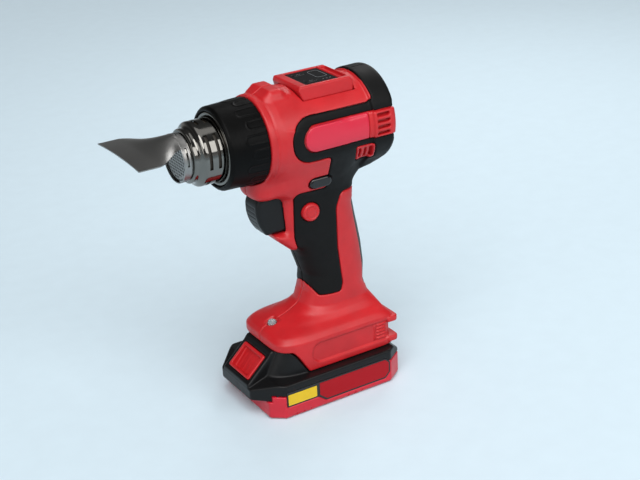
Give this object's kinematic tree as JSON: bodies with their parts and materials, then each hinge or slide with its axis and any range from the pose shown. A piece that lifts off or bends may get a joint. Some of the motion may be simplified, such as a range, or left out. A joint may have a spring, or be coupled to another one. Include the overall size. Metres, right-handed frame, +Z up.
{
  "type": "heat gun",
  "caption": "Pistol-grip cordless heat gun: slotted steel outlet with a flared surface nozzle, soft grip, trigger, top display and a slide-on battery pack.",
  "frame": {"origin": "centre of the battery pack's flat underside", "axes": "+Z up through the grip to the barrel, the nozzle points along -X, the tool's left side faces -Y"},
  "size_m": [0.1819, 0.075, 0.22],
  "materials": {
    "casing_red": "satin moulded",
    "soft_black": "soft touch",
    "hard_black": "fine spark texture",
    "gloss_black": "gloss",
    "badge_red": "semi gloss",
    "label_red": "semi gloss",
    "pad_grey": "grained",
    "polished_steel": "polished",
    "satin_steel": "satin",
    "mica": "matte",
    "ceramic": "matte",
    "heater_wire": "oxidised",
    "nylon_white": "matte",
    "board_green": "solder mask",
    "clear_lens": "clear",
    "brass": "satin",
    "cell_can": "shrink film over the can",
    "zinc_steel": "zinc plated"
  },
  "bodies": {
    "housing": {"housing_left": "casing_red", "housing_right": "casing_red", "overmould_left": "soft_black", "overmould_right": "soft_black", "badge_left": "badge_red", "badge_right": "badge_red", "grip_pad": "pad_grey", "display_cover": "casing_red", "display_window": "gloss_black", "control_board": "board_green", "casing_screw_1": "zinc_steel", "casing_screw_2": "zinc_steel", "casing_screw_3": "zinc_steel", "casing_screw_4": "zinc_steel", "casing_screw_5": "zinc_steel", "casing_screw_6": "zinc_steel", "intake_grille": "hard_black", "heat_guard": "hard_black", "outlet_flange": "polished_steel", "outlet_tube": "polished_steel", "outlet_screen": "satin_steel", "mica_sleeve": "mica", "heater_base": "ceramic", "heater_former": "mica", "heater_coil": "heater_wire", "thermal_cutout": "ceramic", "motor_mount": "hard_black", "fan_motor": "satin_steel", "trigger_spring": "zinc_steel", "switch_body": "hard_black", "lock_spring": "zinc_steel", "work_light_lens": "clear_lens", "work_light_board": "board_green", "terminal_block": "brass"},
    "nozzle": {"deflector_nozzle": "satin_steel"},
    "fan_rotor": {"motor_shaft": "polished_steel", "fan_impeller": "nylon_white"},
    "trigger": {"trigger": "hard_black"},
    "lock_button": {"lock_button": "casing_red"},
    "selector": {"selector_bar": "gloss_black"},
    "key_plus": {"key_plus": "gloss_black"},
    "key_minus": {"key_minus": "gloss_black"},
    "battery": {"battery_lower_case": "casing_red", "battery_upper_case": "hard_black", "latch_spring": "zinc_steel", "battery_label_left": "label_red", "battery_label_right": "label_red", "battery_board": "board_green", "cell_1": "cell_can", "cell_2": "cell_can", "cell_3": "cell_can", "cell_4": "cell_can", "cell_5": "cell_can", "pack_screw_1": "zinc_steel", "pack_screw_2": "zinc_steel", "pack_screw_3": "zinc_steel", "pack_screw_4": "zinc_steel"},
    "latch": {"latch_button": "casing_red"}
  },
  "joints": [
    {"name": "battery_slide", "type": "slide", "parent": "housing", "child": "battery", "axis": [-1, 0, 0], "range_m": [0, 0.058]},
    {"name": "latch_press", "type": "slide", "parent": "battery", "child": "latch", "axis": [0.682, 0, -0.7314], "range_m": [0, 0.0018], "stiffness_N_per_m": 800, "springref_m": -0.003, "deforming": ["latch_spring"]},
    {"name": "trigger_pull", "type": "slide", "parent": "housing", "child": "trigger", "axis": [1, 0, 0], "range_m": [0, 0.006], "stiffness_N_per_m": 500, "springref_m": -0.006, "deforming": ["trigger_spring"]},
    {"name": "lock_press", "type": "slide", "parent": "housing", "child": "lock_button", "axis": [0, 1, 0], "range_m": [0, 0.0018], "stiffness_N_per_m": 400, "springref_m": -0.004, "deforming": ["lock_spring"]},
    {"name": "selector_shift", "type": "slide", "parent": "housing", "child": "selector", "axis": [0, 1, 0], "range_m": [0, 0.003]},
    {"name": "plus_press", "type": "slide", "parent": "housing", "child": "key_plus", "axis": [0, 0, -1], "range_m": [0, 0.0005], "stiffness_N_per_m": 600, "springref_m": -0.0008},
    {"name": "minus_press", "type": "slide", "parent": "housing", "child": "key_minus", "axis": [0, 0, -1], "range_m": [0, 0.0005], "stiffness_N_per_m": 600, "springref_m": -0.0008},
    {"name": "fan_spin", "type": "hinge", "parent": "housing", "child": "fan_rotor", "pos_m": [-0.0035, 0, 0.187], "axis": [1, 0, 0], "continuous": true},
    {"name": "nozzle_turn", "type": "hinge", "parent": "housing", "child": "nozzle", "pos_m": [-0.0855, 0, 0.187], "axis": [1, 0, 0], "continuous": true}
  ]
}
